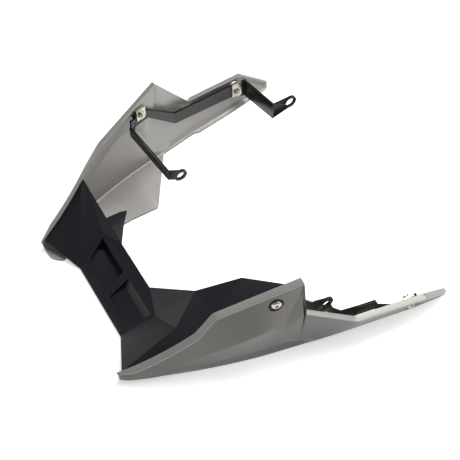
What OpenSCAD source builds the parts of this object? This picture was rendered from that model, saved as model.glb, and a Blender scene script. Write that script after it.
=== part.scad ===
// Belly pan of a motorcycle: two moulded side panels, a folded centre piece and two steel brackets.
// X runs from the nose to the tail, Y to the right side, Z up from the floor.

/* [Overall] */
// Length from the nose tip to the tail tip
pan_len = 406; // [396:1:430]

/* [Panel corners] */
// Half width at the nose tip, to the inner edge of the flange
nose_y = 108; // [104:1:112]
// Height of the nose tip
nose_z = 20; // [17:1:24]
// Sag of the flange between nose and knee
nose_sag = 6.5; // [4:0.5:8]
// Knee of the flange, behind the nose
knee_x = 90; // [84:1:96]
// Half width at the knee
knee_y = 140; // [136:1:144]
// Height of the knee
knee_z = 82; // [76:1:88]
// Brow of the flange, above the knee
brow_x = 112; // [106:1:118]
// Half width at the brow
brow_y = 142; // [139:1:146]
// Height of the brow
brow_z = 109; // [103:1:114]
// Crown, the highest point of the panel
crown_x = 207.5; // [205:0.5:212]
// Half width at the crown
crown_y = 170.5; // [167:0.5:174]
// Height of the crown
crown_z = 145; // [138:1:150]
// Length of the steep edge of the notch in the left panel
notch_run = 3; // [2:0.5:5]
// Half width at the foot of the notch
notch_y = 178.5; // [176:0.5:181]
// Height of the foot of the notch
notch_z = 87; // [84:1:94]
// Elbow, where the tail starts
elbow_x = 270; // [262:1:278]
// Half width at the elbow
elbow_y = 201; // [198:1:205]
// Height of the elbow
elbow_z = 53; // [48:1:58]
// Corner at the top of the tail
tail_x = 364; // [356:1:372]
// Half width at that corner
tail_y = 214; // [210:1:216]
// Height of that corner
tail_z = 45; // [41:1:49]
// Half width at the tail tip
tip_y = 208.5; // [206:0.5:211]
// Height of the tail tip
tip_z = 16; // [15:1:20]

/* [Panel section] */
// Wall thickness of the panels
wall = 3; // [2.5:0.25:4]
// Width of the flange on top of the wall
flange_w = 8.5; // [8:0.5:10]
// Depth of the groove under the flange
groove_in = 2; // [1:0.25:2.5]
// Drop of the flange from its inner to its outer edge
flange_drop = 2; // [1:0.5:3]
// Half width at the inner edge of the floor of the panels
floor_y = 94; // [90:1:98]
// Height of the bead on the inner edge of the floor
bead_h = 2.5; // [1.5:0.5:3]

/* [Centre piece] */
// Upright thickness of the folded sheet
sheet = 3.2; // [2.8:0.1:3.8]
// Front edge of the ramp
ramp_front_x = 29; // [26:1:32]
// Half width of the ramp at its front edge
ramp_front_y = 58; // [54:1:62]
// Rear edge of the ramp
ramp_rear_x = 83; // [80:1:87]
// Half width of the ramp at its rear edge
ramp_rear_y = 37; // [34:1:40]
// Height of the rear edge of the ramp
ramp_rear_z = 43; // [39:1:47]
// Depth of the lip that is turned down at the rear of the ramp
lip_h = 6; // [4:0.5:8]
// Front edge of the vents
vent_x = 41; // [38:1:44]
// Length of the vents
vent_len = 28; // [24:1:30]
// Distance of a vent from the middle
vent_y = 5.5; // [4:0.5:8]
// Width of a vent at its rear
vent_w = 61; // [54:1:62]
// Depth of a vent at its rear
vent_depth = 8; // [6:0.5:10]
// Thickness of the foot plates
foot_t = 2.5; // [2:0.25:3]
// Rear edge of the foot plates
foot_x = 122; // [118:1:126]

/* [Brackets] */
// Thickness of the bracket steel
steel = 3; // [2:0.25:4]
// Height of the straps
strap_h = 20; // [18:0.5:22]
// Outer radius of the eyelet tabs
tab_r = 9; // [8:0.5:10]
// Bore of the front eyelets
eye_bore = 10.5; // [8:0.5:12]
// Bore of the rear eyelet
rear_eye_bore = 13; // [10:0.5:14]
// Outer radius of the rear eyelet tab
rear_tab_r = 10.5; // [10:0.5:12]
// Front right eyelet, along the pan
eye1_x = 187; // [182:1:194]
// Front right eyelet, from the middle
eye1_y = 71; // [64:1:80]
// Front right eyelet, above the floor
eye1_z = 80; // [76:1:86]
// Rear right eyelet, along the pan
eye2_x = 395; // [388:1:395]
// Rear right eyelet, from the middle
eye2_y = 134.5; // [130:0.5:150]
// Rear right eyelet, above the floor
eye2_z = 46; // [42:1:48]
// Left eyelet, along the pan
eye3_x = 250; // [244:1:256]
// Left eyelet, from the middle
eye3_y = 170; // [166:1:172]
// Left eyelet, above the floor
eye3_z = 55; // [50:1:62]

/* [Panel fixings] */
// Front screw, along the pan
s1_x = 177.5; // [175:0.5:182]
// Front screw, above the floor
s1_z = 112; // [109:1:113]
// Rear screw, along the pan
s2_x = 350; // [344:1:354]
// Rear screw, above the floor
s2_z = 28; // [27:1:30]
// Screw diameter
screw_d = 6; // [5:0.5:6]
// Head diameter
head_d = 13.5; // [12:0.5:15]
// Head height
head_h = 3.6; // [3:0.2:4.4]
// Hexagon socket, across its corners
socket_d = 4.6; // [4:0.2:5]
// Outer diameter of the cup washers
cup_d = 19.5; // [17.5:0.5:20]
// Thickness of the cup washers
cup_t = 1.2; // [0.8:0.1:1.6]
// Height of the cup washers' rim
cup_h = 2.4; // [2:0.2:3]
// Depth of the front recess in the panel
recess1 = 2.6; // [2.2:0.1:3]
// Depth of the rear recess, which the wall leans over
recess2 = 5; // [4.5:0.5:6]
// Length from the panel's face to the end of the front boss
boss1_len = 5.5; // [5:0.5:8]
// Length from the panel's face to the end of the rear boss
boss2_len = 7; // [6.5:0.5:9]
// Sheet thickness of the clip nuts
clip_t = 0.8; // [0.6:0.1:1]
// Width of the clip nuts
clip_w = 15; // [13:0.5:16]
// Length of the clip nuts' threaded barrel
clip_barrel = 3; // [2.5:0.5:5]

/* [Foot fixings] */
// Front foot screw, along the pan
f1_x = 52; // [50:1:56]
// Front foot screw, from the middle
f1_y = 104; // [101:1:105]
// Rear foot screw, along the pan
f2_x = 76; // [70:1:84]
// Rear foot screw, from the middle
f2_y = 104; // [101:1:105]
// Diameter of the foot screws
foot_screw_d = 5; // [4:0.5:5]
// Head diameter of the foot screws
foot_head_d = 9; // [8:0.5:10]
// Width of the square speed nuts
nut_w = 12; // [10:0.5:13]

/* [Clearances] */
// Gap between curved faces that lie close
gap = 0.3; // [0.2:0.05:0.4]
// Clearance around a screw in its hole, on the radius
hole_gap = 0.3; // [0.2:0.05:0.5]
// Clearance of a screw in its nut, on the radius
thread_gap = 0.1; // [0.05:0.01:0.15]

/* [Hidden] */
$fn = 48;
panel_colour = "#8d8a84";
black = "#2b2c31";
steel_black = "#1c1c20";
zinc = "#c9c6bb";

// Crease K1: the widest line of the panel, falling behind the crease under the crown
k1_y = [[0, 111], [8, 117], [67, 142], [168, 178], [176, 178], [190, 179], [205, 181], [232, 188],
    [270, 195.5], [tail_x, 209.5], [pan_len, tip_y + 4]];
k1_z = [[0, 10], [67, 33], [168, 75], [176, 68], [190, 42], [205, 22], [232, 13], [270, 12],
    [tail_x, 11], [pan_len, tip_z - 7]];
// Sill K2: the lower edge of the band under K1
k2_y = [[0, 110.5], [12, 119], [44, 134], [90, 148], [136, 162], [186, 173], [211, 179], [232, 187],
    [270, 193.2], [tail_x, 209], [pan_len, tip_y + 4.5]];
k2_z = [[0, 5], [44, 10], [90, 14], [136, 18], [186, 18], [211, 14], [232, 8.5], [tail_x, 7.5],
    [pan_len, tip_z - 10]];
// Keel: the lower outer corner, which lies on the floor up to the tail
keel_y = [[0, 108], [4, 110.6], [8.5, 114.8], [20, 119.5], [66, 138], [112, 154], [161, 168], [211, 179],
    [263, 190], [317, 199], [tail_x, 207.5], [pan_len, tip_y + 4.5]];
keel_z = [[0, 0], [320, 0], [tail_x, 1], [pan_len, tip_z - 13]];
// Crease under the crown, and the bulge of the facet behind it
flare_x = 176;
crease_y = [[176, 177.5], [188, 176], [194, 175.5], [201, 175.5], [207, 176.5]];
crease_z = [[176, 72], [188, 77], [194, 88], [201, 107], [207, 124]];
bulge_y = [[176, 178], [188, 178], [194, 179.5], [201, 182], [207, 184.5], [227, 191], [250, 200],
    [270, 206]];
bulge_z = [[176, 70], [188, 60], [194, 66], [201, 76], [207, 84], [227, 70], [250, 57], [270, 43]];
// Floor of the panel: its inner edge is round at the nose, runs back straight, then out to the wall.
// On the left it stays behind the front edge of the centre piece.
floor_nose_right = [[0, 99], [3, 94], [7, 88], [15, 81]];
floor_nose_left = [[0, 104.5], [4, 105.5], [8.5, 103], [15, 93], [21, 84]];
floor_straight_x = 121;
floor_end_x = 162;
floor_out_x = 213;
// Return of the tail's lower edge
return_x = [elbow_x + 1, elbow_x + 6];
return_w = 8;
narrow_w = 5;
right_edge_w = 5;

function mix(a, b, t) = a + (b - a) * t;
function edge_width(x, left) =
    lookup(x, [[0, 3], [20, flange_w], [crown_x, flange_w],
        [crown_x + notch_run, left ? flange_w - 1.5 : right_edge_w],
        [elbow_x - 1, left ? flange_w - 0.5 : right_edge_w], [elbow_x + 6, flange_w],
        [tail_x, flange_w], [pan_len - 6, 7.5], [pan_len, 6]]);
function groove(x) = lookup(x, [[0, 0.4], [15, 1], [tail_x, 1], [pan_len - 6, 0.8], [pan_len, 0.4]]);
function rim_y(x, left) =
    lookup(x, concat([[0, nose_y], [knee_x, knee_y], [brow_x, brow_y], [crown_x, crown_y]],
        left ? [[crown_x + notch_run, notch_y]] : [[crown_x + notch_run, crown_y + 3]],
        [[elbow_x, elbow_y], [tail_x, tail_y], [pan_len, tip_y]]));
function sag(x) = x < knee_x ? nose_sag * 4 * x / knee_x * (1 - x / knee_x) : 0;
function rim_z(x, left) =
    lookup(x, concat([[0, nose_z], [knee_x, knee_z], [brow_x, brow_z], [crown_x, crown_z]],
        left ? [[crown_x + notch_run, notch_z]] : [],
        [[elbow_x, elbow_z], [tail_x, tail_z], [pan_len, tip_z]])) - sag(x);
function floor_edge_y(x, left) =
    x < floor_end_x
    ? lookup(x, concat(left ? floor_nose_left : floor_nose_right, [[floor_straight_x, floor_y]]))
    : x < floor_out_x
    ? mix(floor_y, lookup(floor_out_x, keel_y) - narrow_w, (x - floor_end_x) / (floor_out_x - floor_end_x))
    : lookup(x, keel_y) - lookup(x, [[return_x[0], narrow_w], [return_x[1], return_w], [tail_x, return_w],
        [pan_len, narrow_w]]);

// Outer and inner points of one section, as [y, z], from the flange down to the floor's edge
function facet_top(x, left) =
    [rim_y(x, left) + edge_width(x, left) - groove_in * groove(x) + 0.5 * groove(x),
     rim_z(x, left) - flange_drop - 5 * groove(x)];
function k1(x) = [lookup(x, k1_y), lookup(x, k1_z)];
function bulge(x, left) =
    x >= flare_x && x <= (left ? crown_x : elbow_x) ? [lookup(x, bulge_y), lookup(x, bulge_z)]
    : mix(facet_top(x, left), k1(x), x < flare_x ? 0.8 : 0.55);
function crease(x, left) =
    x >= flare_x && x <= crown_x ? [lookup(x, crease_y), lookup(x, crease_z)]
    : mix(facet_top(x, left), x < flare_x ? k1(x) : bulge(x, left), 0.5);
function outer_section(x, left) =
    let (y = rim_y(x, left) + edge_width(x, left), z = rim_z(x, left) - flange_drop, g = groove(x),
        ky = lookup(x, keel_y), kz = lookup(x, keel_z))
    [[rim_y(x, left), rim_z(x, left)], [y, z], [y - 0.3, z - 2.4 * g], [y - groove_in * g, z - 2.9 * g],
     facet_top(x, left), crease(x, left), bulge(x, left), k1(x), [lookup(x, k2_y), lookup(x, k2_z)],
     [ky + 0.3, kz + 2.2], [ky - 2, kz], [floor_edge_y(x, left), kz]];
function inner_section(x, left) =
    let (y = rim_y(x, left) + edge_width(x, left), z = rim_z(x, left) - flange_drop, g = groove(x),
        yi = max(y - groove_in * g - wall, rim_y(x, left) + 0.6),
        kz = lookup(x, keel_z), ky = lookup(x, keel_y), fy = floor_edge_y(x, left),
        thin = min(1, (z - lookup(x, k1_z)) / 14), low = lookup(x, [[tail_x, 1], [pan_len, 0.4]]),
        c = crease(x, left), b = bulge(x, left), k = k1(x))
    [[rim_y(x, left), rim_z(x, left) - wall * thin], [yi, z - (wall + 0.1) * thin],
     [yi, z - (wall + 0.8) * thin],
     [yi, z - (wall + 1.4) * thin], [yi, z - (wall + 2.4) * thin], [c[0] - wall, c[1]], [b[0] - wall, b[1]],
     [k[0] - wall, k[1]], [lookup(x, k2_y) - wall, lookup(x, k2_z) + 0.4],
     [max(ky - wall, fy + 1), kz + (wall + 1.6) * low],
     [max(ky - wall - 1.5, fy + 0.6), kz + (wall + 0.4) * low], [fy, kz + wall * low]];

// The nose leans back from its tip to the floor: least x of each line of the section
nose_lean = [0, 0.3, 0.5, 0.6, 0.8, 1, 1.2, 1.5, 1.8, 2, 2.2, 3];
function span(a, b, n) = [for (i = [0 : n - 1]) a + (b - a) * i / n];
stations = concat([0, 4, 8.5], span(15, knee_x, 8), span(knee_x, brow_x, 3), span(brow_x, flare_x - 1, 4),
    [flare_x], span(flare_x + 4, crown_x, 8), [crown_x], span(crown_x + notch_run, elbow_x, 6),
    span(elbow_x, return_x[1], 2), span(return_x[1], tail_x, 5), span(tail_x, pan_len, 3), [pan_len]);
function lean(x, k) = max(x, nose_lean[k] + 0.1 * x);
function section(x, left) =
    let (o = outer_section(x, left), i = inner_section(x, left), n = len(o))
    concat([for (k = [0 : n - 1]) [lean(x, k), o[k][0], o[k][1]]],
        [for (k = [n - 1 : -1 : 0]) [lean(x, k), i[k][0], i[k][1]]]);

// Skin through rings of points: triangles between them, and strips over both ends
module skin(rings) {
    n = len(rings[0]);
    m = len(rings);
    pts = [for (r = rings) for (p = r) p];
    sides = [for (i = [0 : m - 2]) for (k = [0 : n - 1])
        let (a = i * n + k, b = i * n + (k + 1) % n)
        each [[a, b, b + n], [a, b + n, a + n]]];
    near_end = [for (k = [0 : n / 2 - 2]) each [[k, n - 1 - k, k + 1], [k + 1, n - 1 - k, n - 2 - k]]];
    far_end = [for (f = near_end) [for (v = [2, 1, 0]) f[v] + (m - 1) * n]];
    polyhedron(points = pts, faces = concat(sides, near_end, far_end), convexity = 8);
}

// A screw's own frame: at the panel's outer face, +Z outward along the screw
s1_yaw = atan((crown_y - brow_y) / (crown_x - brow_x));
function facet_y(x, z) =
    let (a = facet_top(x, true), b = crease(x, true)) mix(a[0], b[0], (a[1] - z) / (a[1] - b[1]));
function tail_wall_y(x, z) =
    let (a = facet_top(x, true), b = k1(x)) mix(a[0], b[0], (a[1] - z) / (a[1] - b[1]));
s1_y = facet_y(s1_x, s1_z);
// How far the facet leans out for each mm down, at the front screw
facet_lean = facet_y(s1_x, s1_z - 1) - s1_y;
s2_y = tail_wall_y(s2_x, s2_z);
module at_front() {
    translate([s1_x, s1_y, s1_z]) rotate([0, 0, s1_yaw]) rotate([-90, 0, 0]) children();
}
module at_rear() {
    translate([s2_x, s2_y, s2_z]) rotate([-90, 0, 0]) children();
}
// Places along the screw, below the face: end of the boss, then the bracket between the clip's leaves
function plate_top(boss_len) = boss_len + clip_t;
plate1 = plate_top(boss1_len) + steel / 2;
plate2 = plate_top(boss2_len) + steel / 2;

// One side panel, drawn on the left
module panel(left) {
    boss1_r = cup_d / 2 + 1.5;
    boss1_skin = boss1_r * facet_lean + 0.1;
    boss2_r = cup_d / 2 + 2;
    hole_r = screw_d / 2 + hole_gap;
    difference() {
        union() {
            skin([for (x = stations) section(x, left)]);
            at_front() translate([0, 0, -boss1_len]) cylinder(r = boss1_r, h = boss1_len - boss1_skin);
            intersection() {
                at_rear() translate([0, 0, -boss2_len]) cylinder(r = boss2_r, h = boss2_len);
                skin([for (x = [s2_x - 20, s2_x - 10, s2_x, s2_x + 10, tail_x - 0.5]) filled(x)]);
            }
            bead();
        }
        at_front() translate([0, 0, -recess1]) cylinder(r = cup_d / 2 + gap, h = recess1 + 5);
        at_front() translate([0, 0, -boss1_len - 1]) cylinder(r = hole_r, h = boss1_len + 5);
        at_rear() translate([0, 0, -recess2]) cylinder(r = cup_d / 2 + gap, h = recess2 + 6);
        at_rear() translate([0, 0, -boss2_len - 1]) cylinder(r = hole_r, h = boss2_len + 5);
        foot_holes();
    }
}
// Space behind the middle of the tail's wall, which the rear boss is cut to
function filled(x) =
    let (a = facet_top(x, true), b = k1(x))
    [[x, a[0] - wall / 2, a[1]], [x, b[0] - wall / 2, b[1]], [x, b[0] - 40, b[1]], [x, a[0] - 40, a[1]]];
module bead() {
    translate([foot_x + 3, floor_y, wall - 0.5]) cube([floor_end_x - foot_x - 6, wall, bead_h + 0.5]);
}
module foot_holes() {
    for (p = [[f1_x, f1_y], [f2_x, f2_y]]) {
        translate([p[0], p[1], -1]) cylinder(r = foot_screw_d / 2 + hole_gap, h = wall + 2);
        translate([p[0], p[1], -0.01])
            cylinder(r1 = foot_head_d / 2 + 0.1, r2 = foot_screw_d / 2 + hole_gap,
                h = (foot_head_d - foot_screw_d) / 2);
    }
}

module side(s) { if (s > 0) children(); else mirror([0, 1, 0]) children(); }

// Folded centre piece: top points of the sheet, then its underside straight below
function ramp_z(x) = mix(sheet + gap, ramp_rear_z, (x - ramp_front_x) / (ramp_rear_x - ramp_front_x));
tuck_drop = 0.5;
function tucked(x) =
    [x, rim_y(x, true) + lookup(x, [[0, -1.8], [20, 2]]),
     rim_z(x, true) - wall - gap - tuck_drop - lookup(x, [[72, 0.35], [knee_x, 0]])];
seat_x = [6, 27, 50, 72];
bend_x = 158;
bend_y = 128;
bend_z = 127;
hollow = [112, 102, 101];
valley = [78, 115, 66];
ramp_out = [72, 72, ramp_z(72)];
wing_end_x = 196;
left_rim = [for (x = concat(seat_x, [knee_x, brow_x, 140, 184, wing_end_x])) tucked(x)];
right_rim = [for (x = concat(seat_x, [knee_x - 10])) let (p = tucked(x)) [p[0], -p[1], p[2]]];
sheet_top = concat(
    [[ramp_front_x, ramp_front_y, ramp_z(ramp_front_x)], [ramp_front_x, -ramp_front_y, ramp_z(ramp_front_x)],
     [ramp_rear_x, ramp_rear_y, ramp_rear_z], [ramp_rear_x, -ramp_rear_y, ramp_rear_z],
     ramp_out, [ramp_out[0], -ramp_out[1], ramp_out[2]], valley, hollow, [bend_x, bend_y, bend_z]],
    left_rim, right_rim);
// Numbers of the points: 0 and 1 front corners, 2 and 3 rear corners, 4 and 5 outer ends of the ramp
lr = 9;
rr = 18;
sheet_faces = concat(
    [[0, 2, 4], [0, 3, 2], [0, 1, 3], [1, 5, 3]],
    [[0, 4, 6], [4, 7, 6], [4, 2, 7]],
    [[0, 6, lr], [6, lr + 1, lr], [6, lr + 2, lr + 1], [6, lr + 3, lr + 2], [6, lr + 4, lr + 3]],
    [[6, 7, lr + 5], [6, lr + 5, lr + 4], [7, 8, lr + 5], [8, lr + 6, lr + 5], [8, lr + 7, lr + 6],
     [8, lr + 8, lr + 7]],
    [[1, rr, rr + 1], [1, rr + 1, rr + 2], [1, rr + 2, rr + 3], [1, rr + 3, rr + 4]],
    [[1, rr + 4, 5], [5, rr + 4, 3]]);
// Outline of the sheet, seen from above, in the turning sense of the faces
sheet_edge = [0, lr, lr + 1, lr + 2, lr + 3, lr + 4, lr + 5, lr + 6, lr + 7, lr + 8, 8, 7, 2, 3,
    rr + 4, rr + 3, rr + 2, rr + 1, rr, 1];
module sheet_body() {
    n = len(sheet_top);
    pts = concat(sheet_top, [for (p = sheet_top) p - [0, 0, sheet]]);
    under = [for (f = sheet_faces) [f[2] + n, f[1] + n, f[0] + n]];
    m = len(sheet_edge);
    rim = [for (i = [0 : m - 1])
        let (a = sheet_edge[i], b = sheet_edge[(i + 1) % m])
        each [[a, b, b + n], [a, b + n, a + n]]];
    polyhedron(points = pts, faces = concat([for (f = sheet_faces) [f[2], f[1], f[0]]],
        [for (f = under) [f[2], f[1], f[0]]], [for (f = rim) [f[2], f[1], f[0]]]), convexity = 8);
}
vent_plan = [[vent_x, vent_y], [vent_x, vent_y + 43], [vent_x + 4, vent_y + 51],
    [vent_x + vent_len, vent_y + vent_w], [vent_x + vent_len, vent_y + 0.5]];
module vent_cut() {
    linear_extrude(ramp_rear_z + 10) polygon(vent_plan);
}
// Tray under a vent: its floor falls away from the ramp towards the rear. The left one ends in a sloping
// wall, the right one in a deep trough. A thin wall under the divider parts them.
trough_z = 13;
vent_wall = 1.8;
vent_slope = 7;
tray_wall = 1.2;
module along_x(outline) {
    translate([0, 90, 0]) rotate([90, 0, 0]) linear_extrude(90 + ramp_rear_y) polygon(outline);
}
module vent_tray(closed) {
    x0 = vent_x - 2;
    x1 = vent_x + vent_len;
    x2 = closed ? x1 - vent_slope : vent_x + vent_len * 0.66;
    y0 = -0.2;
    function deep(x) = mix(ramp_z(vent_x) - sheet, ramp_z(x1 - vent_slope) - vent_depth,
        (x - vent_x) / (vent_len - vent_slope));
    difference() {
        intersection() {
            linear_extrude(ramp_rear_z) polygon([[x0, y0], [x0, vent_y + 45], [vent_x + 3, vent_y + 53],
                [x1 + 1, vent_y + vent_w + 2.4], [x1 + vent_wall + 2, vent_y + vent_w + 2.4],
                [x1 + vent_wall + 2, y0]]);
            along_x(concat([[x0, ramp_z(x0) - sheet / 2], [x0, deep(x0) - vent_wall],
                [x2 - (closed ? 0 : vent_wall), deep(x2) - vent_wall]],
                closed ? [[x1 + vent_wall + 1, ramp_z(x1 + vent_wall + 1) - sheet - 0.4],
                    [x1 + vent_wall + 1, ramp_z(x1 + vent_wall + 1) - sheet / 2]]
                : [[x2 - vent_wall, trough_z - vent_wall], [x1 + vent_wall + 1, trough_z - vent_wall],
                    [x1 + vent_wall + 1, ramp_z(x1 + vent_wall + 1) - sheet / 2]]));
        }
        intersection() {
            linear_extrude(2 * ramp_rear_z) polygon([[vent_x, tray_wall], vent_plan[1], vent_plan[2],
                vent_plan[3], [x1, tray_wall]]);
            along_x(concat([[vent_x - 1, deep(vent_x - 1)], [x2, deep(x2)]],
                closed ? [[x1 + 0.5, ramp_z(x1 + 0.5) - 1], [x1 + 0.5, 2 * ramp_rear_z]]
                : [[x2, trough_z], [x1 + 0.5, trough_z], [x1 + 0.5, 2 * ramp_rear_z]],
                [[vent_x - 1, 2 * ramp_rear_z]]));
        }
    }
}
// Foot plate under the wing, which lies on the panel's floor
foot_plan = [[ramp_front_x + 2.5, 22], [ramp_front_x + 4, ramp_front_y], [42, 98], [46, 110], [50, 112],
    [foot_x - 9, 111], [foot_x, 108.5], [foot_x - 14, 90], [foot_x - 30, 64], [84, 22]];
foot_z = wall + gap + 0.05;
module foot() {
    difference() {
        translate([0, 0, foot_z]) linear_extrude(foot_t) polygon(foot_plan);
        for (p = [[f1_x, f1_y], [f2_x, f2_y]])
            translate([p[0], p[1], 0]) cylinder(r = foot_screw_d / 2 + hole_gap, h = 20);
    }
}
module rear_lip() {
    x = ramp_rear_x - 2.4;
    translate([0, ramp_rear_y, 0]) rotate([90, 0, 0]) linear_extrude(2 * ramp_rear_y) polygon([
        [x, ramp_z(x) - 1], [ramp_rear_x, ramp_rear_z - 1], [ramp_rear_x, ramp_rear_z - lip_h],
        [x, ramp_rear_z - lip_h]]);
}

// Straps on edge. A strap follows plan points [x, y, low z, high z], with mitred bends.
function unit(v) = v / norm(v);
function turned(v) = [-v[1], v[0]];
function plan(p) = [p[0], p[1]];
function side_of(path, i) = turned(unit(plan(path[i + 1]) - plan(path[i])));
function mitre(path, i) =
    i == 0 ? side_of(path, 0)
    : i == len(path) - 1 ? side_of(path, i - 1)
    : let (a = side_of(path, i - 1), b = side_of(path, i)) (a + b) / (1 + a * b);
module strap_plan(path) {
    n = len(path);
    polygon(concat([for (i = [0 : n - 1]) plan(path[i]) + mitre(path, i) * steel / 2],
        [for (i = [n - 1 : -1 : 0]) plan(path[i]) - mitre(path, i) * steel / 2]));
}
module strap(path) {
    n = len(path);
    first = plan(path[0])[0] - steel;
    last = plan(path[n - 1])[0] + steel;
    intersection() {
        linear_extrude(crown_z) strap_plan(path);
        translate([0, 2 * elbow_y, 0]) rotate([90, 0, 0]) linear_extrude(2 * elbow_y) polygon(concat(
            [[first, path[0][2]]], [for (p = path) [p[0], p[2]]], [[last, path[n - 1][2]]],
            [[last, path[n - 1][3]]], [for (i = [n - 1 : -1 : 0]) [path[i][0], path[i][3]]],
            [[first, path[0][3]]]));
    }
}
module arm(path, low, high) {
    translate([0, 0, low]) linear_extrude(high - low) strap_plan(path);
}
module across(x, y, z) { translate([x, y, z]) rotate([90, 0, 0]) children(); }
module eyelet(x, y, z, r) { across(x, y, z) cylinder(r = r, h = steel, center = true); }
module eye_hole(x, y, z, d) { across(x, y, z) cylinder(d = d, h = steel + 20, center = true); }
function plate1_at(along, low, high) =
    [s1_x + plate1 * sin(s1_yaw) + along * cos(s1_yaw),
     s1_y - plate1 * cos(s1_yaw) + along * sin(s1_yaw), low, high];
plate2_y = s2_y - plate2;
// Left strap around its eyelet: along and across from the eyelet's middle, then its low and high edge
left_way = [[-19, 0, -10, 17], [-17, 0, -12, 17], [2, 0, -20, tab_r], [10, 3, -33, -16], [18, 10, -37, -20],
    [35, 18, -30, -12], [61, 20, -35, -17], [65, 22, -39, -27]];
// Right strap: the place where it bends between its screws
right_bend = [238, 183, 44, 44 + strap_h];
// Front right arm: its height above the eyelet's middle, and its distance ahead of it
arm1_low = 3;
arm1_high = 19;
arm1_back = 17;
// Right strap beside its ear for the front screw: its top edge, below the screw's middle
shoulder = 1;
// Rear right arm: its distance ahead of the eyelet, then its low and high edge at the strap and at the tab
arm2_back = 27;
arm2_strap = [15, 44];
arm2_tab = [28, 55];
s1_low = s1_z - strap_h * 0.75;
s1_high = s1_z + strap_h * 0.45;
s2_low = s2_z - strap_h * 0.3;
s2_high_left = s2_z + strap_h * 0.24;
s2_high_right = s2_z + strap_h * 0.8;
module screw_holes() {
    at_front() translate([0, 0, -plate1 - steel]) cylinder(r = screw_d / 2 + hole_gap, h = 2 * steel);
    at_rear() translate([0, 0, -plate2 - steel]) cylinder(r = screw_d / 2 + hole_gap, h = 2 * steel);
}

module screw(recess, boss_len, name_h) {
    under_head = -recess + cup_t;
    tip = -plate_top(boss_len) - steel - clip_t - clip_barrel - 1.5;
    difference() {
        union() {
            translate([0, 0, tip]) cylinder(d = screw_d - 2 * thread_gap, h = under_head - tip);
            translate([0, 0, under_head]) rotate_extrude() polygon([[0, 0], [head_d / 2, 0],
                [head_d / 2 - 0.2, head_h * 0.4], [head_d / 2 - 1.6, head_h * 0.8],
                [head_d / 4, head_h], [0, head_h]]);
        }
        translate([0, 0, under_head + head_h - 2.2]) cylinder(d = socket_d, h = 3, $fn = 6);
    }
}
module cup_washer(recess) {
    translate([0, 0, -recess]) rotate_extrude() polygon([[screw_d / 2 + hole_gap, 0], [cup_d / 2, 0],
        [cup_d / 2, cup_h], [cup_d / 2 - 1.2, cup_h], [cup_d / 2 - 2, cup_t],
        [screw_d / 2 + hole_gap, cup_t]]);
}
module clip_nut(boss_len, reach) {
    inner = -plate_top(boss_len) - steel - clip_t;
    over = -reach - clip_t;
    difference() {
        union() {
            for (z = [-boss_len - clip_t, inner])
                translate([-clip_w / 2, over, z]) cube([clip_w, clip_w / 2 - over, clip_t]);
            translate([-clip_w / 2, over, inner]) cube([clip_w, clip_t, steel + 2 * clip_t]);
            translate([0, 0, inner - clip_barrel]) cylinder(d = screw_d + 4, h = clip_barrel + 0.1);
        }
        translate([0, 0, inner - clip_barrel - 1])
            cylinder(d = screw_d, h = clip_barrel + steel + 2 * clip_t + 2);
    }
}
module foot_screw() {
    cone = (foot_head_d - foot_screw_d) / 2;
    rotate_extrude() polygon([[0, 0.2], [foot_head_d / 2 - 0.2, 0.2],
        [foot_screw_d / 2 - thread_gap, cone + 0.2], [foot_screw_d / 2 - thread_gap, foot_z + foot_t + 5],
        [0, foot_z + foot_t + 5]]);
}
module speed_nut() {
    translate([0, 0, foot_z + foot_t]) difference() {
        union() {
            translate([-nut_w / 2, -nut_w / 2, 0]) cube([nut_w, nut_w, 0.8]);
            cylinder(d = foot_screw_d + 3, h = 3);
        }
        translate([0, 0, -1]) cylinder(d = foot_screw_d, h = 6);
    }
}

// The part's own frame: the origin under the middle of its length. The pieces above are drawn with the left
// side towards +Y, and are turned over here, because +Y is the right side of a pan whose tail is at +X.
module part() { translate([-pan_len / 2, 0, 0]) mirror([0, 1, 0]) children(); }

module left_panel() { part() color(panel_colour) panel(true); }
module right_panel() { part() color(panel_colour) side(-1) panel(false); }
module centre_duct() {
    part() color(black) {
        difference() {
            sheet_body();
            for (s = [1, -1]) side(s) vent_cut();
        }
        side(1) vent_tray(true);
        side(-1) vent_tray(false);
        for (s = [1, -1]) side(s) foot();
        rear_lip();
    }
}
module left_bracket() {
    part() color(steel_black) difference() {
        union() {
            strap(concat([plate1_at(-10, s1_low, s1_high), plate1_at(12, s1_low - 4, s1_high - 1)],
                [for (p = left_way) [eye3_x + p[0], eye3_y + p[1], eye3_z + p[2], eye3_z + p[3]]],
                [[s2_x - 13, plate2_y, s2_low, s2_z - 1], [s2_x - 10, plate2_y, s2_low, s2_high_left],
                 [s2_x + 12, plate2_y, s2_low, s2_high_left]]));
            eyelet(eye3_x, eye3_y, eye3_z, tab_r + 1);
        }
        screw_holes();
        eye_hole(eye3_x, eye3_y, eye3_z, eye_bore);
    }
}
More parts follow.
